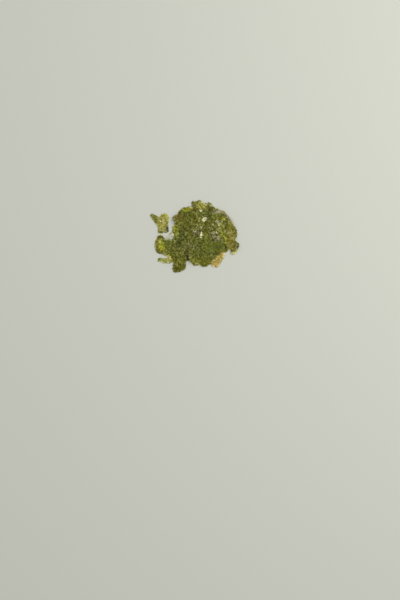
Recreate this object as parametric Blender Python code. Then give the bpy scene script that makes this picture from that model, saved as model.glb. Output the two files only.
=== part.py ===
# Green bubble weed: a pressed, dried thallus, one skin of bubble cells torn and folded flat.
# Run with: blender --background --python part.py
# The shape is worked out in millimetres and scaled to metres at the end. +Z is up.
# The origin is on the flat spot that the thallus rests on, at z = 0.
import math
import random

import bmesh
import bpy
from mathutils import Matrix, Vector, noise

MM = 0.001
SEED = 2

# The skin and its bubbles. The bubbles are drawn about twice life size.
BUBBLE_PITCH = 2.6
BUBBLE_RISE = 0.5
BUBBLE_RISE_BELOW = 0.3
SKIN_THICKNESS = 0.65
CORNER_JITTER = 0.28  # share of the lattice spacing
CORNER_CUT = 100 / 3  # percent of an edge of the lattice, so that its triangles give hexagons
ROUNDING_PASSES = 4
ROUNDING_SHARE = 0.5
TRIM_PASSES = 2
EDGE_TRIM = 0.5  # how far one pass draws the outermost corners to the outline, as a share
SLOPE_STEP = 0.1
CREASE_ANGLE = 50.0  # degrees; sharper ridges than this aren't shaded smooth
VALLEY_ANGLE = 10.0  # degrees; nor are deeper valleys than this, so each bubble shows

# How the skin lies. It swells off the surface between the flat spot and its rim, which was
# pressed flat. Each fold is stuck to the wall below it, and only its edge is free: the edge
# curls up, to clear the bubbles below.
FIELD_REACH = 42.0
SWELL_HEIGHT = 1.2
SWELL_SPACING = 15.0
FLAT_SPOT_RADIUS = 9.0
FLAT_SPOT_FADE = 9.0
RIM_FLAT_WIDTH = 5.0
WRINKLE_HEIGHT = 0.2
WRINKLE_SPACING = 6.0
STUCK_DEPTH = 0.1
EDGE_GAP = 0.05
EDGE_LIFT = STUCK_DEPTH + BUBBLE_RISE + EDGE_GAP
EDGE_WIDTH = 2.6
SAG_WIDTH = 4.0  # past the edge of the wall below, a fold comes down over this distance

# Each lobe is drawn round a line of points (x, y, half width).
BODY = [
    (-5.8, 13.6, 8.7),
    (-5.4, 3.1, 12.3),
    (-0.8, -9.2, 11.0),
    (10.0, -6.2, 14.3),
    (13.1, 4.6, 16.4),
    (6.2, 11.6, 10.4),
]
CREST = [(10.6, 21.0, 4.3), (6.2, 19.0, 6.8), (2.2, 23.2, 4.2)]
CREST_CORNER = [(2.0, 22.0, 3.4), (-0.9, 25.0, 1.5)]
LEFT_LOBE = [(-13.1, -10.8, 7.2), (-20.8, -8.3, 6.0), (-26.2, -5.6, 4.7), (-26.8, -9.0, 3.9)]
LEFT_TIP = [(-26.2, -5.2, 4.2), (-26.6, -1.4, 2.6)]
LEFT_CORNER = [(-18.0, -12.0, 4.6), (-23.4, -12.2, 2.6), (-28.2, -10.6, 1.9)]
FINGER = [(-16.2, -18.8, 2.3), (-22.0, -19.0, 2.1), (-27.4, -18.2, 1.6)]
BLOCK_LOBE = [(-11.5, -16.2, 6.0), (-11.9, -21.7, 5.0), (-13.8, -25.0, 3.4)]
BLOCK_CORNER = [(-11.9, -21.9, 4.4), (-9.8, -23.4, 2.8)]
SOUTH_LOBE = [(-1.5, -14.2, 5.4), (-1.0, -19.2, 4.0), (3.4, -19.8, 3.8)]
SOUTH_EAST_LOBE = [(7.7, -13.1, 5.8), (7.4, -19.7, 4.0)]
TAN_LOBE = [(17.3, -10.0, 5.0), (19.8, -14.6, 3.4), (15.6, -20.4, 3.7)]
EAST_CORNER = [(18.0, -6.0, 6.0), (23.4, -9.6, 2.6)]
RIGHT_LOBE = [(25.8, -5.6, 4.6), (30.2, -7.8, 4.0), (30.4, -11.6, 2.2)]
RIGHT_RIM = [(15.5, 17.4, 4.0), (21.8, 13.9, 4.4), (25.6, 6.9, 4.5), (27.9, 0.0, 4.7)]
BROWN_POINT = [(-10.0, 14.5, 4.2), (-14.0, 13.1, 3.1)]
PALE_WEB = [(-21.5, -2.6, 1.9), (-16.4, 0.4, 2.4)]
TORN_NECK = [(-26.6, -1.8, 1.6), (-26.6, 1.4, 1.2), (-26.2, 4.4, 2.4)]
TORN_LOBE = [(-26.0, 4.6, 2.6), (-24.8, 8.1, 3.9), (-23.6, 13.6, 3.8)]
TORN_ARM = [(-26.2, 9.8, 2.7), (-32.6, 15.3, 2.0)]
TORN_SPUR = [(-23.5, 8.5, 2.6), (-22.2, 4.6, 2.2)]

# Tears right through the skin, each along a line of points (x, y, half width).
TEARS = [
    [(6.4, 12.2, 1.2), (8.5, 13.6, 1.3)],
    [(4.6, 3.5, 1.1), (4.6, -1.9, 1.1)],
    [(16.7, 11.6, 1.1), (18.2, 9.4, 1.1)],
]

# The folded walls from the lowest to the highest. turn sets the run of a wall's cells, in degrees.
WALLS = [
    {
        "name": "lower_wall",
        "lobes": [
            BODY,
            CREST,
            CREST_CORNER,
            LEFT_LOBE,
            LEFT_TIP,
            LEFT_CORNER,
            FINGER,
            BLOCK_LOBE,
            BLOCK_CORNER,
            SOUTH_LOBE,
            SOUTH_EAST_LOBE,
            TAN_LOBE,
            EAST_CORNER,
            RIGHT_LOBE,
            RIGHT_RIM,
            BROWN_POINT,
            PALE_WEB,
            TORN_NECK,
            TORN_LOBE,
            TORN_ARM,
            TORN_SPUR,
        ],
        "turn": 8.0,
    },
    {
        "name": "upper_wall",
        "lobes": [
            [
                (-5.4, 7.7, 9.2),
                (-6.2, -3.1, 8.9),
                (0.0, -10.8, 8.5),
                (10.0, -7.7, 10.8),
                (13.9, 4.6, 11.6),
                (6.2, 11.6, 8.9),
            ],
            [(0.8, -13.9, 4.2), (0.5, -18.3, 3.5)],
            [(7.7, -13.1, 4.8), (7.6, -18.9, 3.5)],
            [(6.6, 16.0, 5.4), (3.0, 21.8, 3.2)],
            [(-12.0, -8.0, 4.5), (-17.7, -6.9, 3.9), (-23.0, -4.4, 2.4)],
            [(-10.4, -12.3, 5.0), (-11.4, -21.4, 3.9)],
        ],
        "turn": 31.0,
    },
    {
        "name": "north_west_fold",
        "lobes": [[(-1.5, 9.2, 6.6), (-9.2, 13.1, 5.2), (-13.6, 13.3, 3.2)]],
        "turn": 50.0,
    },
    {
        "name": "south_east_fold",
        "lobes": [[(9.2, -7.3, 5.4), (16.2, -6.6, 6.6), (19.0, -9.6, 4.4)]],
        "turn": 19.0,
    },
    {
        "name": "south_west_fold",
        "lobes": [[(-6.0, -6.0, 4.6), (-9.6, -12.0, 4.2), (-10.6, -18.5, 3.4)]],
        "turn": 42.0,
    },
    {
        "name": "right_fold",
        "lobes": [
            [
                (13.6, 17.4, 3.4),
                (20.8, 14.2, 4.2),
                (25.0, 8.3, 4.4),
                (26.9, 1.6, 4.6),
                (26.7, -4.6, 4.2),
                (30.0, -8.2, 3.6),
            ]
        ],
        "turn": 3.0,
    },
]

SKIN_COLOUR = (0.16, 0.17, 0.03, 1.0)  # dried olive green, linear
SKIN_ROUGHNESS = 0.45


def clear_scene():
    for obj in list(bpy.data.objects):
        bpy.data.objects.remove(obj)


def smooth_step(t):
    t = min(max(t, 0.0), 1.0)
    return t * t * (3 - 2 * t)


def reach(lobe, x, y):
    """How far (x, y) lies outside the lobe, in millimetres. It is negative inside."""
    nearest = math.inf
    for (ax, ay, aw), (bx, by, bw) in zip(lobe, lobe[1:]):
        along_x, along_y = bx - ax, by - ay
        share = ((x - ax) * along_x + (y - ay) * along_y) / (along_x**2 + along_y**2)
        share = min(max(share, 0.0), 1.0)
        gap = math.hypot(x - ax - share * along_x, y - ay - share * along_y)
        nearest = min(nearest, gap - aw - share * (bw - aw))
    return nearest


def edge_reach(lobes, x, y):
    """The same for a wall: its lobes together, less the tears."""
    outside = min(reach(lobe, x, y) for lobe in lobes)
    torn = max(-reach(tear, x, y) for tear in TEARS)
    return max(outside, torn)


def trim_edge(bm, lobes):
    """Draws the outermost corners toward the outline, so that the edge runs less in steps."""
    for vert in [vert for vert in bm.verts if vert.is_boundary]:
        for _ in range(TRIM_PASSES):
            x, y = vert.co.xy
            outside = edge_reach(lobes, x, y)
            slope = Vector(
                (
                    edge_reach(lobes, x + SLOPE_STEP, y) - outside,
                    edge_reach(lobes, x, y + SLOPE_STEP) - outside,
                )
            )
            vert.co.xy -= EDGE_TRIM * outside * slope.normalized()


def swell(x, y):
    """How far the skin rises off the surface: not at the flat spot or the rim, in humps between."""
    spot = Vector((x, y, 0.0))
    hump = min(max(0.5 + noise.noise(spot / SWELL_SPACING), 0.0), 1.0)
    pucker = max(noise.noise(spot / WRINKLE_SPACING), 0.0)
    away = smooth_step((spot.length - FLAT_SPOT_RADIUS) / FLAT_SPOT_FADE)
    inward = smooth_step(-edge_reach(WALLS[0]["lobes"], x, y) / RIM_FLAT_WIDTH)
    return away * inward * (SWELL_HEIGHT * hump + WRINKLE_HEIGHT * pucker)


def underside(wall, below, x, y):
    """Height of a wall's underside at (x, y), from how it lies on the walls below it."""
    height = swell(x, y)
    for lower in below:
        outside = edge_reach(lower["lobes"], x, y)
        cover = smooth_step(1 - outside / SAG_WIDTH)
        lift = EDGE_LIFT * smooth_step(1 + outside / EDGE_WIDTH) if lower is not below[0] else 0
        height += cover * (SKIN_THICKNESS - STUCK_DEPTH + lift)
    if below:
        height += EDGE_LIFT * smooth_step(1 + edge_reach(wall["lobes"], x, y) / EDGE_WIDTH)
    return height


def cell_lattice(turn):
    """A flat honeycomb of uneven cells: a triangle lattice with every corner cut back by a third."""
    draw = random.Random(SEED)
    spacing = BUBBLE_PITCH * math.sqrt(3)
    rows = 2 * math.ceil(FIELD_REACH / spacing / (math.sqrt(3) / 2))
    bm = bmesh.new()
    bmesh.ops.create_grid(bm, x_segments=rows, y_segments=rows, size=rows * spacing / 2)
    for vert in bm.verts:
        row = round(vert.co.y / spacing)
        vert.co.x += spacing / 2 * (row % 2) + spacing * CORNER_JITTER * draw.uniform(-1, 1)
        vert.co.y *= math.sqrt(3) / 2
        vert.co.y += spacing * CORNER_JITTER * draw.uniform(-1, 1)
    bmesh.ops.triangulate(bm, faces=bm.faces[:], quad_method="SHORT_EDGE")
    bmesh.ops.beautify_fill(bm, faces=bm.faces[:], edges=bm.edges[:], method="AREA")
    bmesh.ops.bevel(
        bm,
        geom=bm.verts[:],
        offset=CORNER_CUT,
        offset_type="PERCENT",
        segments=1,
        profile=0.5,
        affect="VERTICES",
        material=-1,
    )
    for _ in range(ROUNDING_PASSES):
        bmesh.ops.smooth_vert(
            bm, verts=bm.verts[:], factor=ROUNDING_SHARE, use_axis_x=True, use_axis_y=True
        )
    spin = Matrix.Rotation(math.radians(turn), 3, "Z")
    bmesh.ops.rotate(bm, verts=bm.verts[:], cent=(0, 0, 0), matrix=spin)
    return bm


def keep_largest_patch(bm):
    """Drops every group of linked faces but the largest."""
    left = set(bm.faces)
    patches = []
    while left:
        patch, front = set(), [left.pop()]
        while front:
            face = front.pop()
            patch.add(face)
            for near in {f for edge in face.edges for f in edge.link_faces} & left:
                left.discard(near)
                front.append(near)
        patches.append(patch)
    patches.sort(key=len)
    scraps = [face for patch in patches[:-1] for face in patch]
    bmesh.ops.delete(bm, geom=scraps, context="FACES")


def make_wall(wall, below):
    """One wall of the folded skin, as a closed sheet with a bubble on each cell."""
    lobes = wall["lobes"]
    bm = cell_lattice(wall["turn"])
    beyond = [
        face for face in bm.faces if edge_reach(lobes, *face.calc_center_median()[:2]) > 0
    ]
    bmesh.ops.delete(bm, geom=beyond, context="FACES")
    keep_largest_patch(bm)
    trim_edge(bm, lobes)
    upper = bmesh.ops.extrude_face_region(bm, geom=bm.faces[:], use_keep_orig=True)["geom"]
    upper_verts = [item for item in upper if isinstance(item, bmesh.types.BMVert)]
    bmesh.ops.translate(bm, verts=upper_verts, vec=(0, 0, SKIN_THICKNESS))
    bmesh.ops.recalc_face_normals(bm, faces=bm.faces[:])
    tops = [face for face in bm.faces if round(face.normal.z) == 1]
    bottoms = [face for face in bm.faces if round(face.normal.z) == -1]
    bmesh.ops.poke(bm, faces=tops, offset=BUBBLE_RISE, center_mode="MEAN")
    if not below:
        bmesh.ops.poke(bm, faces=bottoms, offset=BUBBLE_RISE_BELOW, center_mode="MEAN")
    for vert in bm.verts:
        vert.co.z = max(vert.co.z + underside(wall, below, *vert.co.xy), 0.0)
    bmesh.ops.triangulate(bm, faces=bm.faces[:])
    bmesh.ops.scale(bm, verts=bm.verts[:], vec=(MM, MM, MM))
    mesh = bpy.data.meshes.new(wall["name"])
    bm.to_mesh(mesh)
    bm.free()
    return bpy.data.objects.new(wall["name"], mesh)


def skin_material():
    material = bpy.data.materials.new("dried_skin")
    material.use_nodes = True
    shader = material.node_tree.nodes["Principled BSDF"]
    shader.inputs["Base Color"].default_value = SKIN_COLOUR
    shader.inputs["Roughness"].default_value = SKIN_ROUGHNESS
    shader.inputs["Metallic"].default_value = 0.0
    return material


def fuse(lowest, others):
    """Joins the walls into one solid, as they grew from one skin, and drops sealed hollows and scraps."""
    folds = bpy.data.collections.new("folds")
    bpy.context.scene.collection.children.link(folds)
    for wall in others:
        folds.objects.link(wall)
    join = lowest.modifiers.new("join_folds", "BOOLEAN")
    join.operation = "UNION"
    join.operand_type = "COLLECTION"
    join.collection = folds
    join.solver = "MANIFOLD"
    graph = bpy.context.evaluated_depsgraph_get()
    bm = bmesh.new()
    bm.from_object(lowest, graph)
    keep_largest_patch(bm)
    bmesh.ops.triangulate(bm, faces=bm.faces[:])
    for face in bm.faces:
        face.smooth = True
    for edge in bm.edges:
        bend = math.degrees(edge.calc_face_angle_signed(0.0))
        edge.smooth = -VALLEY_ANGLE < bend < CREASE_ANGLE
    lowest.modifiers.remove(join)
    bm.to_mesh(lowest.data)
    bm.free()
    for wall in others:
        bpy.data.objects.remove(wall)
    bpy.data.collections.remove(folds)


def build():
    clear_scene()
    walls = [make_wall(wall, WALLS[:rank]) for rank, wall in enumerate(WALLS)]
    thallus = walls[0]
    thallus.name = "thallus"
    bpy.context.scene.collection.objects.link(thallus)
    fuse(thallus, walls[1:])
    thallus.data.materials.append(skin_material())


build()
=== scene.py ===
# Green bubble weed: the looks of the pressed, dried thallus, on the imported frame.
import math
import random

import bmesh
import bpy
import numpy as np
from mathutils import Matrix, Vector, noise


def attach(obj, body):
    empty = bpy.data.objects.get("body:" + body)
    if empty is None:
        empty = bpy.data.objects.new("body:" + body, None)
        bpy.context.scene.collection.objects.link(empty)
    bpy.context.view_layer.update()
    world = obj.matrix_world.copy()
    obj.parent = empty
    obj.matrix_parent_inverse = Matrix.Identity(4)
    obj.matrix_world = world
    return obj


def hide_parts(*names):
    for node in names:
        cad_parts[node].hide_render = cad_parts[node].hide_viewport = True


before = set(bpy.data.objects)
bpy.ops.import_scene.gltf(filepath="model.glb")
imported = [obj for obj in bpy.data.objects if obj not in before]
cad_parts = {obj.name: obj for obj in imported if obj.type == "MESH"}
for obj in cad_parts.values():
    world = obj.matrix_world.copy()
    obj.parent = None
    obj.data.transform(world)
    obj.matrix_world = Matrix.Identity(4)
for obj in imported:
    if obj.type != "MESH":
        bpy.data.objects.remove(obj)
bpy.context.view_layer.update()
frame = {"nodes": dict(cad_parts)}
print("frame loaded:", ", ".join(frame["nodes"]))

mm = 0.001   # the skin is worked out in millimetres and brought to metres when it is done
tiny = 1e-9  # keeps a length that is divided by off zero

# Each use of noise reads another pattern, so that no two of them run alike.
noisePatterns = {
    "swell": 0.0,
    "pucker": 0.6,
    "raggedEdge": 7.3,
    "drift": (2.9, 8.3),
    "crumple": 3.7,
    "wander": (1.7, 5.1),
}


# Small helpers

def smoothStep(t):
    t = np.clip(t, 0.0, 1.0)
    return t * t * (3 - 2 * t)


def noiseAt(xy, size, pattern):
    # Noise with features about this many millimetres across
    return np.array([noise.noise(Vector((x / size, y / size, pattern))) for x, y in xy])


def linear(hexColour):
    # An sRGB hex value as linear red, green, blue and alpha.
    parts = [int(hexColour[i:i + 2], 16) / 255 for i in (0, 2, 4)]
    return [c / 12.92 if c <= 0.04045 else ((c + 0.055) / 1.055) ** 2.4 for c in parts] + [1.0]


# Outline of the thallus. Each lobe is drawn round a line of points: x, y, half width.
lobes = {
    "body": [
        (-5.3, 13.9, 8.6),
        (-5.4, 3.1, 12.3),
        (-0.8, -9.2, 11.0),
        (10.0, -6.2, 14.3),
        (13.1, 4.6, 16.4),
        (6.2, 11.6, 10.4),
    ],
    "crest": [(10.6, 21.0, 4.3), (6.2, 19.0, 6.8), (2.2, 23.2, 4.2)],
    "crestCorner": [(2.0, 22.0, 3.6), (-1.4, 25.2, 1.6)],
    "leftLobe": [(-13.1, -10.8, 7.2), (-20.8, -8.3, 6.0), (-26.2, -5.6, 4.7), (-26.8, -9.0, 3.9)],
    "leftTip": [(-26.6, -4.9, 4.3), (-26.6, -1.4, 2.6)],
    "leftCorner": [(-18.0, -12.2, 4.7), (-23.4, -12.4, 2.7), (-28.2, -10.8, 1.9)],
    "finger": [(-16.2, -18.2, 2.1), (-23.0, -19.1, 2.1), (-26.9, -18.3, 1.5)],
    "fingerWeb": [(-19.0, -15.8, 1.8), (-17.4, -17.4, 1.8)],
    "blockLobe": [(-11.5, -16.2, 6.0), (-11.9, -21.7, 5.0), (-13.6, -25.0, 3.4)],
    "blockCorner": [(-11.9, -21.9, 4.4), (-9.7, -23.8, 2.8)],
    "southLobe": [(-1.3, -14.2, 5.2), (0.1, -19.3, 3.6), (3.2, -19.0, 3.3)],
    "southEastLobe": [(7.7, -13.1, 5.8), (7.4, -19.7, 4.0)],
    "tanLobe": [(17.3, -10.0, 5.0), (19.8, -14.5, 3.3), (15.8, -20.7, 3.6)],
    "eastCorner": [(18.0, -6.0, 6.0), (23.4, -9.6, 2.6)],
    "rightLobe": [(25.8, -5.6, 4.6), (30.2, -7.8, 4.0), (29.7, -11.6, 2.5)],
    "rightRim": [(15.5, 17.6, 4.0), (21.8, 14.0, 4.5), (25.2, 7.2, 4.4), (28.0, 2.0, 4.6)],
    "brownPoint": [(-10.0, 14.5, 4.0), (-13.3, 13.0, 2.7)],
    "paleWeb": [(-21.5, -2.6, 1.9), (-16.4, 0.4, 2.4)],
    "tornNeck": [(-26.6, -1.8, 1.6), (-26.6, 1.4, 1.2), (-26.2, 4.4, 2.4)],
    "tornLobe": [(-26.0, 4.6, 2.6), (-24.8, 8.1, 3.9), (-23.6, 13.6, 3.8)],
    "tornArm": [(-26.2, 9.6, 2.8), (-32.0, 15.0, 2.0)],
    "tornSpur": [(-23.5, 8.5, 2.6), (-22.2, 4.6, 2.2)],
}

# Tears, drawn the same way. In the lowest wall they are narrower by this much on each side, or it
# is whole there, so that its skin shows through the tear above it, where it is coated pale with
# painted light.
tears = [
    {"narrower": 0.9, "line": [(6.7, 12.2, 1.2), (7.9, 13.2, 1.4)]},
    {"narrower": 1.6, "line": [(5.0, 2.7, 0.65), (4.8, 0.4, 0.65), (4.5, -1.2, 0.65)]},
    {"narrower": 1.6, "line": [(16.8, 11.2, 0.8), (17.9, 10.3, 0.95), (18.6, 8.4, 0.6)]},
]

# The walls of the folded skin from the lowest to the highest. turn is the run of the cells.
walls = [
    {"name": "lowerWall", "turn": 8.0, "lobes": list(lobes.values())},
    {
        "name": "upperWall",
        "turn": 31.0,
        "lobes": [
            [
                (-5.4, 7.7, 9.2),
                (-6.2, -3.1, 8.9),
                (0.0, -10.8, 8.5),
                (10.0, -7.7, 10.8),
                (13.9, 4.6, 11.6),
                (6.2, 11.6, 8.9),
            ],
            [(0.8, -13.9, 4.2), (0.5, -18.3, 3.5)],
            [(7.7, -13.1, 4.8), (7.6, -18.9, 3.5)],
            [(6.6, 16.0, 5.4), (3.0, 21.8, 3.2)],
            [(-12.0, -8.0, 4.5), (-17.7, -6.9, 3.9), (-23.0, -4.4, 2.4)],
            [(-10.4, -12.3, 5.0), (-11.4, -21.4, 3.9)],
        ],
    },
    {
        "name": "northWestFold",
        "turn": 50.0,
        "lobes": [[(-1.5, 9.2, 6.6), (-9.2, 13.1, 5.2), (-13.6, 13.3, 3.2)]],
    },
    {
        "name": "southEastFold",
        "turn": 19.0,
        "lobes": [[(9.2, -7.3, 5.4), (16.2, -6.6, 6.6), (19.0, -9.6, 4.4)]],
    },
    {
        "name": "southWestFold",
        "turn": 42.0,
        "lobes": [[(-6.0, -6.0, 4.6), (-9.6, -12.0, 4.2), (-10.6, -18.5, 3.4)]],
    },
    {
        "name": "rightFold",
        "turn": 3.0,
        "lobes": [
            [
                (13.6, 17.4, 3.4),
                (20.8, 14.2, 4.2),
                (25.0, 8.3, 4.4),
                (26.9, 1.6, 4.6),
                (26.7, -4.6, 4.2),
                (30.0, -8.2, 3.6),
            ]
        ],
    },
]


def lobeReach(lobe, xy):
    # How far each point lies outside the lobe. It is negative inside. One point is a round spot.
    nearest = np.full(len(xy), np.inf)
    for start, end in zip(lobe, lobe[1:] or lobe):
        along = np.subtract(end[:2], start[:2])
        share = np.clip((xy - start[:2]) @ along / max(along @ along, tiny), 0.0, 1.0)
        gap = np.linalg.norm(xy - start[:2] - share[:, None] * along, axis=1)
        nearest = np.minimum(nearest, gap - start[2] - share * (end[2] - start[2]))
    return nearest


def wallReach(wall, xy):
    outside = np.min([lobeReach(lobe, xy) for lobe in wall["lobes"]], axis=0)
    for tear in tears:
        narrower = tear["narrower"] if wall is walls[0] else 0.0
        outside = np.maximum(outside, -lobeReach(tear["line"], xy) - narrower)
    return outside


# How the skin lies: sizes in millimetres
lie = {
    "skin": 0.65,         # thickness of a wall under its bubbles
    "swell": 1.2,
    "swellSize": 15.0,
    "flatSpot": 9.0,      # radius of the spot that it rests on
    "flatFade": 9.0,
    "wrinkle": 0.2,
    "wrinkleSize": 6.0,
    "stuck": 0.1,         # how deep a fold is stuck into the wall below it
    "edgeLift": 0.7,      # how far a free edge curls up
    "edgeWidth": 2.6,
    "sagWidth": 4.0,      # how soon a fold comes down past the edge below it
    "rimFlat": 5.0,       # the pressed skin lies flat at its rim, and swells this far in from it
}


def swellAt(xy):
    hump = np.clip(0.5 + noiseAt(xy, lie["swellSize"], noisePatterns["swell"]), 0.0, 1.0)
    pucker = np.maximum(noiseAt(xy, lie["wrinkleSize"], noisePatterns["pucker"]), 0.0)
    away = smoothStep((np.linalg.norm(xy, axis=1) - lie["flatSpot"]) / lie["flatFade"])
    away *= smoothStep(-wallReach(walls[0], xy) / lie["rimFlat"])
    return away * (lie["swell"] * hump + lie["wrinkle"] * pucker)


def undersideAt(rank, xy):
    height = swellAt(xy)
    for lower in range(rank):
        outside = wallReach(walls[lower], xy)
        lift = lie["edgeLift"] * smoothStep(1 + outside / lie["edgeWidth"]) if lower else 0.0
        cover = smoothStep(1 - outside / lie["sagWidth"])
        height += cover * (lie["skin"] - lie["stuck"] + lift)
    if rank:
        outside = wallReach(walls[rank], xy)
        height += lie["edgeLift"] * smoothStep(1 + outside / lie["edgeWidth"])
    return height


# The bubble cells, at about life size
cells = {
    "seed": 2,
    "pitch": 1.02,
    "jitter": 0.28,       # share of the lattice spacing
    "drift": 2.4,         # the cells are larger in some places, because the lattice is drawn out
    "driftSize": 9.0,
    "cornerCut": 100 / 3,     # per cent of an edge of the lattice
    "rounding": 4,
    "roundingShare": 0.5,
    "field": 42.0,        # the lattice reaches this far from the middle
    "ragged": 0.8,        # how far the torn edge wanders
    "raggedSize": 3.0,
    "stray": 0.5,         # single cells stand out of the edge, or are missing, by this much
    "trim": 0.3,          # share by which the outermost corners go to the outline, each time
    "trimTimes": 2,
    "slopeStep": 0.05,
    "rimDrop": 0.4,       # the skin thins by this much at its edge
    "rimWidth": 1.4,
    "rimCrown": 0.5,      # the least crown the outermost cells get for the painted valley shade, so the rim isn't painted dark
}


def raggedReach(wall, xy):
    wander = noiseAt(xy, cells["raggedSize"], noisePatterns["raggedEdge"])
    return wallReach(wall, xy) + cells["ragged"] * wander


def cellLattice(turn):
    # A triangle lattice with every corner cut back by a third is a honeycomb.
    draw = random.Random(cells["seed"])
    spacing = cells["pitch"] * math.sqrt(3)
    rowShare = math.sqrt(3) / 2  # the rows lie closer together than the points in a row
    rows = 2 * math.ceil(cells["field"] / spacing / rowShare)
    bm = bmesh.new()
    bmesh.ops.create_grid(bm, x_segments=rows, y_segments=rows, size=rows * spacing / 2)
    for vert in bm.verts:
        row = round(vert.co.y / spacing)
        vert.co.x += spacing / 2 * (row % 2) + spacing * cells["jitter"] * draw.uniform(-1, 1)
        vert.co.y *= rowShare
        vert.co.y += spacing * cells["jitter"] * draw.uniform(-1, 1)
    bmesh.ops.triangulate(bm, faces=bm.faces[:], quad_method="SHORT_EDGE")
    bmesh.ops.beautify_fill(bm, faces=bm.faces[:], edges=bm.edges[:], method="AREA")
    bmesh.ops.bevel(
        bm,
        geom=bm.verts[:],
        offset=cells["cornerCut"],
        offset_type="PERCENT",
        segments=1,
        profile=0.5,
        affect="VERTICES",
        material=-1,
    )
    for _ in range(cells["rounding"]):
        bmesh.ops.smooth_vert(
            bm, verts=bm.verts[:], factor=cells["roundingShare"], use_axis_x=True, use_axis_y=True
        )
    xy = np.array([vert.co[:2] for vert in bm.verts])
    for axis, pattern in enumerate(noisePatterns["drift"]):
        pull = cells["drift"] * noiseAt(xy, cells["driftSize"], pattern)
        for vert, shift in zip(bm.verts, pull):
            vert.co[axis] += shift
    spin = Matrix.Rotation(math.radians(turn), 3, "Z")
    bmesh.ops.rotate(bm, verts=bm.verts[:], cent=(0, 0, 0), matrix=spin)
    return bm


def keepLargestPatch(bm):
    left = set(bm.faces)
    patches = []
    while left:
        patch, front = set(), [left.pop()]
        while front:
            face = front.pop()
            patch.add(face)
            for near in {f for edge in face.edges for f in edge.link_faces} & left:
                left.discard(near)
                front.append(near)
        patches.append(patch)
    patches.sort(key=len)
    scraps = [face for patch in patches[:-1] for face in patch]
    bmesh.ops.delete(bm, geom=scraps, context="FACES")


def trimEdge(bm, wall):
    edgeVerts = [vert for vert in bm.verts if vert.is_boundary]
    xy = np.array([vert.co[:2] for vert in edgeVerts])
    for _ in range(cells["trimTimes"]):
        outside = raggedReach(wall, xy)
        steps = np.eye(2) * cells["slopeStep"]
        slope = np.stack([raggedReach(wall, xy + step) - outside for step in steps], axis=1)
        slope /= np.maximum(np.linalg.norm(slope, axis=1), tiny)[:, None]
        xy -= cells["trim"] * outside[:, None] * slope
    for vert, place in zip(edgeVerts, xy):
        vert.co.xy = place


# How the cells dried. upTo sorts them by a draw from 0 to 1, and the rest is how far the ring
# inside the cell's edge, the crown and its middle rise.
bubbles = {
    "ringWidth": 0.12,
    "crownWidth": 0.17,
    "sunken": {"upTo": 0.2, "ring": 0.14, "crown": -0.1, "middle": -0.1},
    "slack": {"upTo": 0.5, "ring": 0.13, "crown": 0.06, "middle": 0.02},
    "full": {"upTo": 1.0, "ring": 0.2, "crown": 0.13, "middle": 0.05},
    "height": 0.38,        # a full one, from valley to middle
    "crumple": 0.3,        # the dried tops lean and buckle by up to about half of this
    "crumpleSize": 0.9,
    "belly": 0.2,          # how far the cells of the lowest wall bulge down
}


def raiseBubbles(bm, tops, draw):
    share = {face: draw.random() for face in tops}
    least = 0.0
    for kind in ("sunken", "slack", "full"):
        most = bubbles[kind]["upTo"]
        group = [face for face in tops if least <= share[face] < most]
        least = most
        for width, depth in (("ringWidth", "ring"), ("crownWidth", "crown")):
            bmesh.ops.inset_individual(
                bm, faces=group, thickness=bubbles[width], depth=bubbles[kind][depth]
            )
        bmesh.ops.poke(bm, faces=group, offset=bubbles[kind]["middle"], center_mode="MEAN")


def settleSides(bm, shade):
    # An extrusion makes its sides in no set order, so their draws go round again by place, and
    # two runs give the same skin.
    bm.verts.index_update()
    sides = [face for face in bm.faces if round(face.normal.z) == 0]
    draws = [face[shade] for face in sides]
    sides.sort(key=lambda face: sorted(vert.index for vert in face.verts))
    for face, value in zip(sides, draws):
        face[shade] = value


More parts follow.
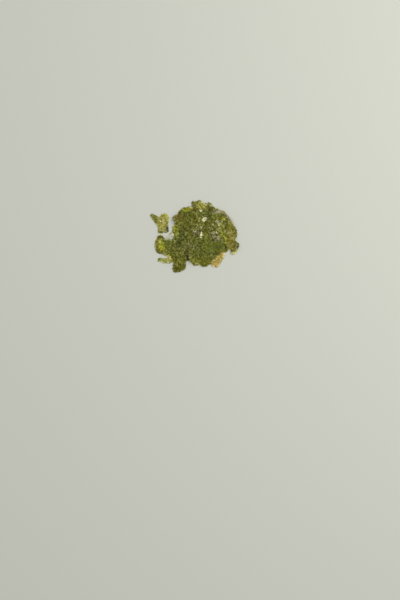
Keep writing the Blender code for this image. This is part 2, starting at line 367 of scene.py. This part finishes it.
def makeWall(rank):
    wall = walls[rank]
    draw = random.Random(cells["seed"] + rank)
    bm = cellLattice(wall["turn"])
    centres = np.array([face.calc_center_median()[:2] for face in bm.faces])
    stray = cells["stray"] * np.array([draw.uniform(-1, 1) for _ in bm.faces])
    outside = raggedReach(wall, centres) + stray
    beyond = [face for face, gap in zip(bm.faces, outside) if gap > 0]
    bmesh.ops.delete(bm, geom=beyond, context="FACES")
    keepLargestPatch(bm)
    trimEdge(bm, wall)
    cellCount = len(bm.faces)

    upper = bmesh.ops.extrude_face_region(bm, geom=bm.faces[:], use_keep_orig=True)["geom"]
    upperVerts = [item for item in upper if isinstance(item, bmesh.types.BMVert)]
    bmesh.ops.translate(bm, verts=upperVerts, vec=(0, 0, lie["skin"]))
    bmesh.ops.recalc_face_normals(bm, faces=bm.faces[:])
    shade = bm.faces.layers.float.new("cellShade")
    crownLayer = bm.verts.layers.float.new("crown")
    tops = [face for face in bm.faces if round(face.normal.z) == 1]
    bottoms = [face for face in bm.faces if round(face.normal.z) == -1]
    for face in bm.faces:
        face[shade] = draw.random()
    settleSides(bm, shade)
    raiseBubbles(bm, tops, draw)
    if rank == 0:
        bmesh.ops.poke(bm, faces=bottoms, offset=bubbles["belly"], center_mode="MEAN")

    # Lay the wall down.
    places = np.array([vert.co[:] for vert in bm.verts])
    xy = places[:, :2]
    crown = (places[:, 2] - lie["skin"]) / bubbles["height"]  # 0 in a valley, 1 on a full bubble
    inward = smoothStep(-wallReach(wall, xy) / cells["rimWidth"])
    isTop = smoothStep(places[:, 2] / lie["skin"])
    heights = places[:, 2] - cells["rimDrop"] * (1 - inward) * isTop + undersideAt(rank, xy)
    lean = noiseAt(xy, bubbles["crumpleSize"], noisePatterns["crumple"] + rank)
    heights += bubbles["crumple"] * lean * np.clip(crown, 0.0, 1.0)
    # The stored crown sets the painted valley shade, and near the rim it is raised so the rim
    # isn't painted dark.
    crown = np.maximum(crown, cells["rimCrown"] * (1 - inward))
    for vert, height, rise in zip(bm.verts, heights, crown):
        vert.co.z = max(height, 0.0)
        vert[crownLayer] = rise
    bmesh.ops.triangulate(bm, faces=bm.faces[:])
    bmesh.ops.scale(bm, verts=bm.verts[:], vec=(mm, mm, mm))
    mesh = bpy.data.meshes.new(wall["name"])
    bm.to_mesh(mesh)
    bm.free()
    print(wall["name"], "has", cellCount, "cells,", len(mesh.polygons), "triangles")
    return bpy.data.objects.new(wall["name"], mesh)


def mendTouches(bm):
    # Where two walls only just touch, the union leaves flaps without a thickness, and short
    # edges where four faces meet.
    groups = {}
    for face in bm.faces:
        groups.setdefault(frozenset(face.verts), []).append(face)
    flaps = [face for group in groups.values() if len(group) > 1 for face in group]
    bmesh.ops.delete(bm, geom=flaps, context="FACES")
    bmesh.ops.collapse(bm, edges=[edge for edge in bm.edges if len(edge.link_faces) > 2])


def fuseWalls(pieces):
    # The walls are one skin, so they become one closed body.
    lowest, others = pieces[0], pieces[1:]
    bpy.context.scene.collection.objects.link(lowest)
    folds = bpy.data.collections.new("folds")
    bpy.context.scene.collection.children.link(folds)
    for piece in others:
        folds.objects.link(piece)
    join = lowest.modifiers.new("joinFolds", "BOOLEAN")
    join.operation = "UNION"
    join.operand_type = "COLLECTION"
    join.collection = folds
    join.solver = "MANIFOLD"
    bm = bmesh.new()
    bm.from_object(lowest, bpy.context.evaluated_depsgraph_get())
    keepLargestPatch(bm)
    bmesh.ops.triangulate(bm, faces=bm.faces[:])
    mendTouches(bm)
    for face in bm.faces:
        face.smooth = True
    lowest.modifiers.remove(join)
    bm.to_mesh(lowest.data)
    bm.free()
    for piece in others:
        bpy.data.objects.remove(piece)
    bpy.data.collections.remove(folds)
    return lowest


# The colours of the dried skin. Where it lies double it is dark, and single it is yellow green.
tints = {
    "darkOlive": "64661c",
    "blackOlive": "2c2c10",
    "olive": "7a7a2c",
    "moss": "6a6b12",
    "deepGreen": "696f22",
    "tealOlive": "4c561c",
    "yellowGreen": "8e8f2c",
    "lime": "a3a528",
    "yellowOlive": "a29d4a",
    "brownOlive": "827a30",
    "brown": "6c5e1c",
    "rust": "7c6c20",
    "greyOlive": "94926c",
    "greyBrown": "817a58",
    "paleGreen": "8e9240",
    "celery": "a6aa60",
    "ochre": "bea85c",
    "bleached": "d8d6a4",
    "paintedTearLight": "f4f2be",  # painted light on the thin skin in a tear, as if lit from the surface under it, over the shade of the groove
    "clear": "c6c6ae",
}

# Where the tone changes: a tint, its strength, and a line of points drawn like a lobe. Each
# goes over the ones before it.
tonePatches = [
    # middle of the body
    ("olive", 0.6, [(0.6, 14.6, 4.6), (4.4, 14.0, 3.0)]),
    ("olive", 0.45, [(-0.6, 6.6, 1.8)]),
    ("olive", 0.5, [(4.0, 8.0, 3.0)]),
    ("olive", 0.55, [(15.6, 13.8, 3.6), (18.4, 5.0, 2.8)]),
    ("tealOlive", 0.5, [(-10.2, 4.0, 2.0), (-9.6, -2.0, 2.4), (-14.0, -11.0, 2.4)]),
    ("yellowOlive", 0.5, [(3.6, 13.6, 0.9), (4.0, 9.8, 1.1)]),
    ("greyBrown", 0.6, [(-0.8, 2.4, 1.2), (2.2, 1.6, 1.6)]),
    ("greyOlive", 0.75, [(-0.8, 3.6, 0.6), (2.4, 3.8, 0.6)]),
    ("bleached", 0.7, [(5.0, 6.6, 0.6)]),
    ("greyOlive", 0.2, [(-7.2, -9.0, 1.6), (-3.8, -7.4, 2.2), (-0.8, -9.2, 1.6)]),
    ("greyBrown", 0.6, [(13.8, 0.8, 2.4), (16.6, -1.8, 2.4)]),
    ("blackOlive", 0.35, [(2.2, 0.8, 1.0), (1.4, -0.4, 0.8)]),
    ("bleached", 0.5, [(14.2, 8.9, 0.5)]),
    ("bleached", 1.0, [(16.6, 2.7, 0.5)]),
    ("bleached", 0.9, [(18.2, -2.7, 0.5)]),
    ("bleached", 0.4, [(11.2, 6.5, 0.5)]),
    ("yellowGreen", 0.4, [(8.0, 1.0, 1.6), (9.0, -4.0, 1.4)]),
    # fold at the upper left, and the brown point beside it
    ("yellowGreen", 0.85, [(-8.6, 19.4, 1.5), (-3.4, 21.0, 1.7)]),
    ("lime", 0.8, [(-7.4, 19.6, 0.9)]),
    # painted shade in the crease at the crest, and along the edge of the fold above the body
    ("blackOlive", 0.65, [(-1.9, 22.0, 0.5), (-1.6, 19.6, 0.5)]),
    ("blackOlive", 0.3, [(-9.6, 17.6, 0.6), (-2.8, 18.5, 0.7)]),
    ("brown", 0.85, [(-15.0, 14.6, 1.6), (-11.2, 15.2, 1.8)]),
    ("rust", 0.6, [(-13.1, 11.4, 1.0), (-9.6, 13.2, 0.6)]),
    ("greyOlive", 0.55, [(-16.8, 12.4, 0.7)]),
    # left rim
    ("moss", 0.6, [(-11.6, 9.6, 2.2), (-14.0, 3.0, 2.0)]),
    ("yellowGreen", 0.6, [(-14.6, 8.6, 1.4), (-14.4, 1.2, 1.8)]),
    ("lime", 0.9, [(-15.4, 7.4, 0.9), (-15.4, 3.0, 1.0)]),
    ("greyOlive", 0.75, [(-17.6, 6.0, 0.6), (-17.7, 3.0, 0.7)]),
    # pale web and the lobe at the lower left
    ("clear", 0.9, [(-22.2, -2.0, 1.2), (-18.6, -0.4, 1.8), (-16.8, 1.2, 0.9)]),
    ("olive", 0.8, [(-27.6, -1.6, 1.5), (-29.6, -7.0, 2.0), (-28.8, -11.0, 1.6)]),
    ("darkOlive", 0.9, [(-23.5, -3.2, 1.2), (-21.4, -6.6, 1.6), (-18.4, -9.0, 1.8)]),
    ("blackOlive", 0.55, [(-26.8, -0.6, 0.8)]),
    ("blackOlive", 0.45, [(-23.8, -2.0, 0.8)]),
    ("yellowOlive", 0.75, [(-28.2, -3.0, 1.1)]),
    ("lime", 0.95, [(-26.6, -5.2, 2.0), (-25.2, -8.6, 3.2)]),
    ("bleached", 0.6, [(-27.2, -5.0, 0.5)]),
    ("brownOlive", 0.7, [(-20.6, -10.0, 1.4)]),
    ("blackOlive", 0.4, [(-29.6, -12.0, 1.0)]),
    ("moss", 0.6, [(-21.0, -10.4, 1.8), (-16.0, -14.0, 2.6)]),
    ("yellowOlive", 0.7, [(-24.6, -13.6, 1.1), (-21.4, -15.2, 1.2)]),
    ("yellowGreen", 0.75, [(-20.0, -15.6, 1.4), (-18.0, -19.0, 1.4)]),
    ("yellowOlive", 0.6, [(-20.0, -16.2, 1.2), (-17.6, -17.6, 1.2)]),
    # finger and block at the lower left
    ("celery", 0.9, [(-26.0, -18.8, 1.6), (-20.0, -19.4, 1.6)]),
    ("ochre", 0.6, [(-19.8, -18.8, 0.9)]),
    ("darkOlive", 0.9, [(-28.0, -18.4, 1.0)]),
    ("moss", 0.7, [(-14.0, -12.0, 2.4), (-13.0, -20.0, 3.0)]),
    ("brownOlive", 0.4, [(-15.4, -19.6, 1.8), (-13.6, -24.4, 2.0)]),
    ("yellowGreen", 0.5, [(-14.4, -20.4, 1.0), (-13.6, -24.0, 0.9)]),
    ("blackOlive", 0.35, [(-14.8, -26.4, 1.4)]),
    ("darkOlive", 0.8, [(-8.0, -21.6, 1.4)]),
    ("blackOlive", 0.5, [(-6.0, -13.4, 1.4), (-5.6, -18.0, 1.4)]),
    # south edge
    ("moss", 0.8, [(-1.0, -18.0, 3.0), (8.0, -19.0, 3.4)]),
    ("yellowOlive", 0.4, [(-1.6, -19.4, 1.8), (3.4, -20.6, 1.4)]),
    # crest
    ("brownOlive", 0.6, [(-2.6, 21.6, 1.6), (1.4, 23.2, 3.0), (9.4, 22.2, 2.6)]),
    ("yellowOlive", 0.6, [(3.0, 23.2, 2.4), (6.6, 23.0, 2.4)]),
    ("lime", 0.55, [(3.4, 22.6, 0.8), (6.4, 22.4, 0.8)]),
    ("ochre", 0.6, [(4.3, 21.4, 0.6)]),
    ("bleached", 0.95, [(4.8, 19.1, 0.8)]),
    ("bleached", 0.8, [(8.5, 23.9, 0.6)]),
    ("darkOlive", 0.7, [(11.0, 25.0, 1.0)]),
    ("greyOlive", 0.75, [(12.6, 23.4, 1.2)]),
    # rim at the upper right
    ("greyBrown", 0.75, [(14.6, 19.2, 1.5), (20.8, 18.2, 1.5)]),
    ("greyOlive", 0.6, [(14.8, 17.8, 0.6), (19.8, 18.6, 0.5)]),
    ("greyBrown", 0.8, [(23.6, 16.2, 1.2), (26.6, 13.2, 1.0), (29.0, 9.2, 0.9)]),
    ("greyOlive", 0.6, [(24.4, 15.8, 0.7), (27.2, 12.6, 0.7)]),
    # lime streak beside the right flap
    ("paleGreen", 0.6, [(17.8, 15.4, 1.5)]),
    ("lime", 0.6, [(20.0, 13.6, 0.9), (22.6, 13.0, 1.2)]),
    ("bleached", 0.8, [(20.6, 11.3, 0.5)]),
    ("paleGreen", 0.7, [(19.8, 7.8, 2.0), (21.6, 1.8, 2.2)]),
    ("lime", 0.75, [(20.8, 2.6, 0.9), (21.4, 0.2, 0.9)]),
    ("lime", 0.85, [(21.8, -1.0, 1.3), (23.0, -2.8, 1.4)]),
    ("yellowGreen", 0.7, [(23.6, -5.2, 1.5)]),
    ("celery", 0.4, [(21.2, -5.0, 1.0)]),
    ("greyOlive", 0.6, [(23.2, 3.6, 0.6)]),
    # right flap
    ("brownOlive", 0.95, [(27.0, 7.0, 2.4), (27.6, -1.6, 2.9), (28.2, -8.8, 2.7)]),
    ("olive", 0.4, [(26.4, 8.6, 2.0), (28.0, 4.0, 2.0)]),
    ("rust", 0.35, [(26.4, -1.8, 1.2)]),
    ("rust", 0.35, [(26.8, -9.4, 1.2)]),
    ("greyOlive", 0.4, [(31.4, -7.4, 1.0)]),
    ("celery", 0.85, [(28.4, -13.2, 0.9), (31.0, -13.0, 1.2), (32.4, -11.6, 0.9)]),
    ("clear", 0.35, [(28.6, -13.8, 0.8), (31.2, -13.6, 1.0)]),
    # painted shade along the curled outer edge of the flap
    ("blackOlive", 0.75, [(31.6, 4.2, 0.6)]),
    ("blackOlive", 0.7, [(32.2, -0.2, 0.6)]),
    ("blackOlive", 0.75, [(32.0, -5.8, 0.6)]),
    ("blackOlive", 0.95, [(32.8, -8.8, 0.9)]),
    # smooth green fold at the lower right, and the tan lobe under it
    ("deepGreen", 0.9, [(10.6, -8.8, 3.4), (21.0, -8.4, 2.8)]),
    ("tealOlive", 0.6, [(15.4, -8.8, 1.2), (20.2, -8.2, 1.4)]),
    ("ochre", 1.0, [(15.7, -21.2, 2.7), (18.6, -17.4, 2.1), (21.6, -13.8, 1.8)]),
    ("brown", 0.4, [(18.4, -19.6, 0.7), (18.8, -16.8, 0.6)]),
    # torn lobe
    ("yellowOlive", 1.0, [(-26.4, 6.6, 3.2), (-23.6, 13.4, 4.8)]),
    ("olive", 0.55, [(-25.8, 15.8, 1.3), (-28.0, 10.0, 1.5), (-28.0, 5.0, 0.9)]),
    ("ochre", 0.3, [(-23.6, 13.0, 1.4), (-24.6, 7.6, 1.4)]),
    ("olive", 0.9, [(-33.2, 15.6, 2.0), (-29.6, 12.6, 1.8)]),
    ("blackOlive", 0.4, [(-33.8, 16.4, 0.8)]),
    ("blackOlive", 0.4, [(-29.2, 14.8, 0.6)]),
    ("blackOlive", 0.55, [(-25.9, 10.1, 0.5)]),
    ("bleached", 0.7, [(-26.4, 11.2, 0.4), (-24.8, 11.2, 0.4)]),
    ("blackOlive", 0.5, [(-25.3, 12.3, 0.4)]),
    ("greyOlive", 0.8, [(-23.2, 4.2, 1.1)]),
    ("blackOlive", 1.0, [(-21.4, 6.0, 0.9)]),
    ("blackOlive", 1.0, [(-20.8, 3.6, 0.8)]),
    ("clear", 0.8, [(-28.0, 1.0, 0.6), (-24.8, 1.2, 0.8)]),
    ("yellowOlive", 0.8, [(-26.7, 2.4, 0.4), (-26.7, 0.6, 0.4)]),
]

# Where the cells differ less in tone than elsewhere, down to 0 for all alike, or more
mottlingPatches = [
    (0.45, [(10.6, -8.8, 4.0), (21.0, -8.4, 3.4)]),
    (0.7, [(-8.0, 13.0, 6.0)]),
    (0.75, [(-12.0, -22.0, 5.0)]),
    (0.75, [(0.0, -20.0, 3.0), (9.0, -20.0, 3.0)]),
    (0.55, [(17.0, -20.0, 3.0), (20.0, -14.0, 2.0)]),
    (0.8, [(1.0, 23.0, 3.0), (8.0, 23.0, 3.0)]),
    (0.6, [(-26.0, 12.0, 8.0)]),
    (1.35, [(15.4, 1.0, 3.6)]),
    (1.2, [(2.0, 8.0, 5.0)]),
    (0.3, [(4.9, 2.4, 0.6), (4.6, -1.0, 0.6)]),
    (0.4, [(17.2, 10.9, 0.5), (18.4, 9.2, 0.5)]),
    (0.4, [(6.8, 12.3, 0.8), (7.8, 13.1, 0.8)]),
    (0.8, [(27.6, 4.0, 5.0), (28.6, -6.0, 5.0)]),
    (0.2, [(-20.0, -1.0, 3.0)]),
    (0.7, [(-26.0, -8.0, 4.0)]),
    (0.55, [(-26.0, -18.8, 2.0), (-20.0, -19.4, 2.0)]),
    (1.4, [(-5.8, -13.0, 2.0), (-5.6, -17.6, 1.4)]),
    (0.4, [(29.0, -13.4, 1.4), (31.4, -13.0, 1.4)]),
    (0.5, [(-8.4, 19.6, 1.4), (-3.4, 21.0, 1.4)]),
]

# How the patches blend: their soft edge, wider on wide ones, and how far they wander
blend = {
    "soft": 0.9,
    "softShare": 0.5,
    "wander": 0.6,
    "wanderSize": 4.0,
    "tearLightSoft": 0.6,
    "mottlingSoft": 3.0,
    "rimWidth": 1.6,
    "paintedRimLight": 0.5,      # painted light at the rim, as if the surface under the single skin shone through, lifting its dark fringe
}


def patchShare(gap, soft):
    # 1 well inside a patch and 0 well outside it, for how far a point lies beyond its line
    return smoothStep(0.5 - gap / soft)


def coat(colour, tint, share):
    # Goes over the colours of the vertices with a tint, each by its own share.
    colour += share[:, None] * (np.array(linear(tints[tint])) - colour)


def paintSkin(mesh):
    # The seen tone of the skin, with its painted light and shade, as a colour on each vertex
    places = np.empty(len(mesh.vertices) * 3)
    mesh.vertices.foreach_get("co", places)
    xy = places.reshape(-1, 3)[:, :2] / mm
    drifts = [noiseAt(xy, blend["wanderSize"], pattern) for pattern in noisePatterns["wander"]]
    wander = np.stack(drifts, axis=1)
    colour = np.tile(linear(tints["darkOlive"]), (len(xy), 1))
    for tint, strength, line in tonePatches:
        halfWidth = line[0][2]
        gap = lobeReach(line, xy + blend["wander"] * halfWidth * wander)
        soft = blend["soft"] + blend["softShare"] * halfWidth
        coat(colour, tint, strength * patchShare(gap, soft))
    # Painted light: the skin is made lighter near its outline.
    rim = smoothStep(1 + wallReach(walls[0], xy) / blend["rimWidth"])
    colour[:, :3] *= 1 + blend["paintedRimLight"] * rim[:, None]
    # Painted light: the skin in and round each tear is coated pale, over the shade of the groove.
    for tear in tears:
        coat(colour, "paintedTearLight", patchShare(lobeReach(tear["line"], xy), blend["tearLightSoft"]))
    layer = mesh.attributes.new("skinTone", "FLOAT_COLOR", "POINT")
    layer.data.foreach_set("color", colour.ravel())
    mottling = np.ones(len(xy))
    for strength, line in mottlingPatches:
        mottling += (strength - 1) * patchShare(lobeReach(line, xy), blend["mottlingSoft"])
    layer = mesh.attributes.new("mottling", "FLOAT", "POINT")
    layer.data.foreach_set("value", mottling)


def patternScale(size):
    # The scale of a texture whose features are this many millimetres across
    return 1 / (size * mm)


def addNode(tree, kind, settings=None, inputs=None):
    # Adds one node. Each input, by name or number, takes a value or another node's output.
    node = tree.nodes.new(kind)
    for name, value in (settings or {}).items():
        setattr(node, name, value)
    for name, value in (inputs or {}).items():
        if isinstance(value, bpy.types.NodeSocket):
            tree.links.new(value, node.inputs[name])
        else:
            node.inputs[name].default_value = value
    return node


# The finish of the skin. A pattern is given by its size in millimetres and its detail. A range
# says what it follows, between which values, and what it comes to at either end.
finish = {
    "patterns": {
        "hueDrift": (5.0, 2.0),
        "blotch": (1.8, 3.0),
        "fleck": (0.8, 2.0),
        "crease": (0.3, 3.0),  # real creases are finer, and wouldn't show
    },
    "ranges": {
        "cellTone": ("cellShade", 0.0, 1.0, 0.46, 1.7),
        # painted shade: darker down in the valleys between the bubbles, a little lighter on their
        # crowns
        "paintedValleyShade": ("crown", 0.0, 0.6, 0.58, 1.12),
        "blotchTone": ("blotch", 0.35, 0.65, 0.84, 1.2),
        "fleckTone": ("fleck", 0.3, 0.7, 0.62, 1.38),
        "hue": ("hueDrift", 0.35, 0.65, 0.49, 0.51),     # 0.5 leaves it as it is
        "emptyShare": ("cellShade", 0.9, 1.0, 0.0, 0.25),
        "roughness": ("blotch", 0.35, 0.65, 0.34, 0.58),
    },
    "paling": (0.5, 2.0, 1.15, 0.75),     # the lighter a spot, the less colour is in it
    "emptyTint": "b4b27c",
    "creaseDepth": 0.05,
    "creaseStrength": 0.5,
    "ior": 1.45,
    "mirror": 0.2,                # crumpled membranes mirror less than a solid
}


def driedSkin():
    # Air-dried green alga: a waxy, half-clear skin. Its valleys between the bubbles are darkened
    # with painted shade, and their crowns get a little painted light.
    # No two cells have the same tone, and the empty ones are pale.
    material = bpy.data.materials.new("driedAlgaSkin")
    material.use_nodes = True
    tree = material.node_tree
    place = addNode(tree, "ShaderNodeTexCoord").outputs["Object"]
    skinTone = addNode(tree, "ShaderNodeAttribute", {"attribute_name": "skinTone"})

    values = {}
    for name in ("cellShade", "crown", "mottling"):
        stored = addNode(tree, "ShaderNodeAttribute", {"attribute_name": name})
        values[name] = stored.outputs["Fac"]
    for name, (size, detail) in finish["patterns"].items():
        inputs = {"Vector": place, "Scale": patternScale(size), "Detail": detail}
        values[name] = addNode(tree, "ShaderNodeTexNoise", inputs=inputs).outputs["Fac"]
    for name, (source, *ends) in finish["ranges"].items():
        inputs = {0: values[source], **dict(enumerate(ends, start=1))}
        values[name] = addNode(tree, "ShaderNodeMapRange", inputs=inputs).outputs["Result"]

    # The tones multiply, and where there is little mottling they stay near 1.
    tone = values["cellTone"]
    for name in ("paintedValleyShade", "blotchTone", "fleckTone"):
        inputs = {0: tone, 1: values[name]}
        tone = addNode(tree, "ShaderNodeMath", {"operation": "MULTIPLY"}, inputs).outputs[0]
    inputs = {"Factor": values["mottling"], "A": 1.0, "B": tone}
    tone = addNode(tree, "ShaderNodeMix", {"clamp_factor": False}, inputs).outputs[0]
    inputs = {0: tone, **dict(enumerate(finish["paling"], start=1))}
    colourfulness = addNode(tree, "ShaderNodeMapRange", inputs=inputs).outputs["Result"]
    inputs = {
        "Hue": values["hue"],
        "Saturation": colourfulness,
        "Value": tone,
        "Color": skinTone.outputs["Color"],
    }
    toned = addNode(tree, "ShaderNodeHueSaturation", inputs=inputs).outputs["Color"]
    inputs = {0: values["emptyShare"], 6: toned, 7: linear(finish["emptyTint"])}
    colour = addNode(tree, "ShaderNodeMix", {"data_type": "RGBA"}, inputs).outputs[2]
    inputs = {
        "Strength": finish["creaseStrength"],
        "Distance": finish["creaseDepth"] * mm,
        "Height": values["crease"],
    }
    bump = addNode(tree, "ShaderNodeBump", inputs=inputs)
    shader = tree.nodes["Principled BSDF"]
    shader.inputs["IOR"].default_value = finish["ior"]
    shader.inputs["Specular IOR Level"].default_value = finish["mirror"]
    tree.links.new(colour, shader.inputs["Base Color"])
    tree.links.new(values["roughness"], shader.inputs["Roughness"])
    tree.links.new(bump.outputs["Normal"], shader.inputs["Normal"])
    return material


def makeThallus():
    thallus = fuseWalls([makeWall(rank) for rank in range(len(walls))])
    thallus.name = "thallusSkin"
    thallus.data.name = "thallusSkin"
    paintSkin(thallus.data)
    thallus.data.materials.append(driedSkin())
    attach(thallus, "root")
    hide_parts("thallus")
    print("thallus fused:", len(thallus.data.polygons), "triangles")


# The photograph's view: straight down, with the specimen high in the frame
view = {
    "pixel": 0.77,              # millimetres of the surface that one pixel spans
    "frameHeight": 600,         # pixels
    "centre": (3.9, -49.3),     # what lies under the middle of the frame
    "lens": 85.0,
    "sensor": 36.0,
}


def setCamera():
    camera = bpy.data.objects.new("camera", bpy.data.cameras.new("camera"))
    camera.data.lens = view["lens"]
    camera.data.sensor_width = view["sensor"]
    span = view["frameHeight"] * view["pixel"] * mm
    away = span * view["lens"] / view["sensor"]
    camera.location = (view["centre"][0] * mm, view["centre"][1] * mm, away)
    bpy.context.scene.collection.objects.link(camera)
    bpy.context.scene.camera = camera


# Plain studio: an even sky, and a softbox on each side as on a copy stand. The right one is
# nearer, so the floor is a little brighter there. Places are in metres, and energies in watts.
studio = {
    "floor": "cfd0c5",
    "floorRoughness": 0.9,
    "floorSize": 4.0,
    "floorDrop": 0.0001,
    "skyTint": "ffffff",
    "sky": 0.52,
    "softboxes": {
        "right": {"place": (0.5, 0.2, 0.58), "size": 0.75, "energy": 4.0},
        "left": {"place": (-0.9, 0.3, 1.2), "size": 1.2, "energy": 2.6},
    },
}


def setStudio():
    drop = -studio["floorDrop"]
    bpy.ops.mesh.primitive_plane_add(size=studio["floorSize"], location=(0, 0, drop))
    floor = bpy.context.object
    floor.name = "floor"
    card = bpy.data.materials.new("matteCard")  # chalky and without shine, so it only shows light
    card.use_nodes = True
    shader = card.node_tree.nodes["Principled BSDF"]
    shader.inputs["Base Color"].default_value = linear(studio["floor"])
    shader.inputs["Roughness"].default_value = studio["floorRoughness"]
    shader.inputs["Specular IOR Level"].default_value = 0.0
    floor.data.materials.append(card)

    world = bpy.data.worlds.new("studioSky")
    world.use_nodes = True
    background = world.node_tree.nodes["Background"]
    background.inputs["Color"].default_value = linear(studio["skyTint"])
    background.inputs["Strength"].default_value = studio["sky"]
    bpy.context.scene.world = world
    for side, box in studio["softboxes"].items():
        light = bpy.data.lights.new(side + "Softbox", "AREA")
        light.size = box["size"]
        light.energy = box["energy"]
        softbox = bpy.data.objects.new(side + "Softbox", light)
        softbox.location = box["place"]
        softbox.rotation_euler = softbox.location.to_track_quat("Z", "Y").to_euler()
        bpy.context.scene.collection.objects.link(softbox)
    bpy.context.scene.view_settings.view_transform = "Standard"
    print("studio and camera set")


makeThallus()
setCamera()
setStudio()
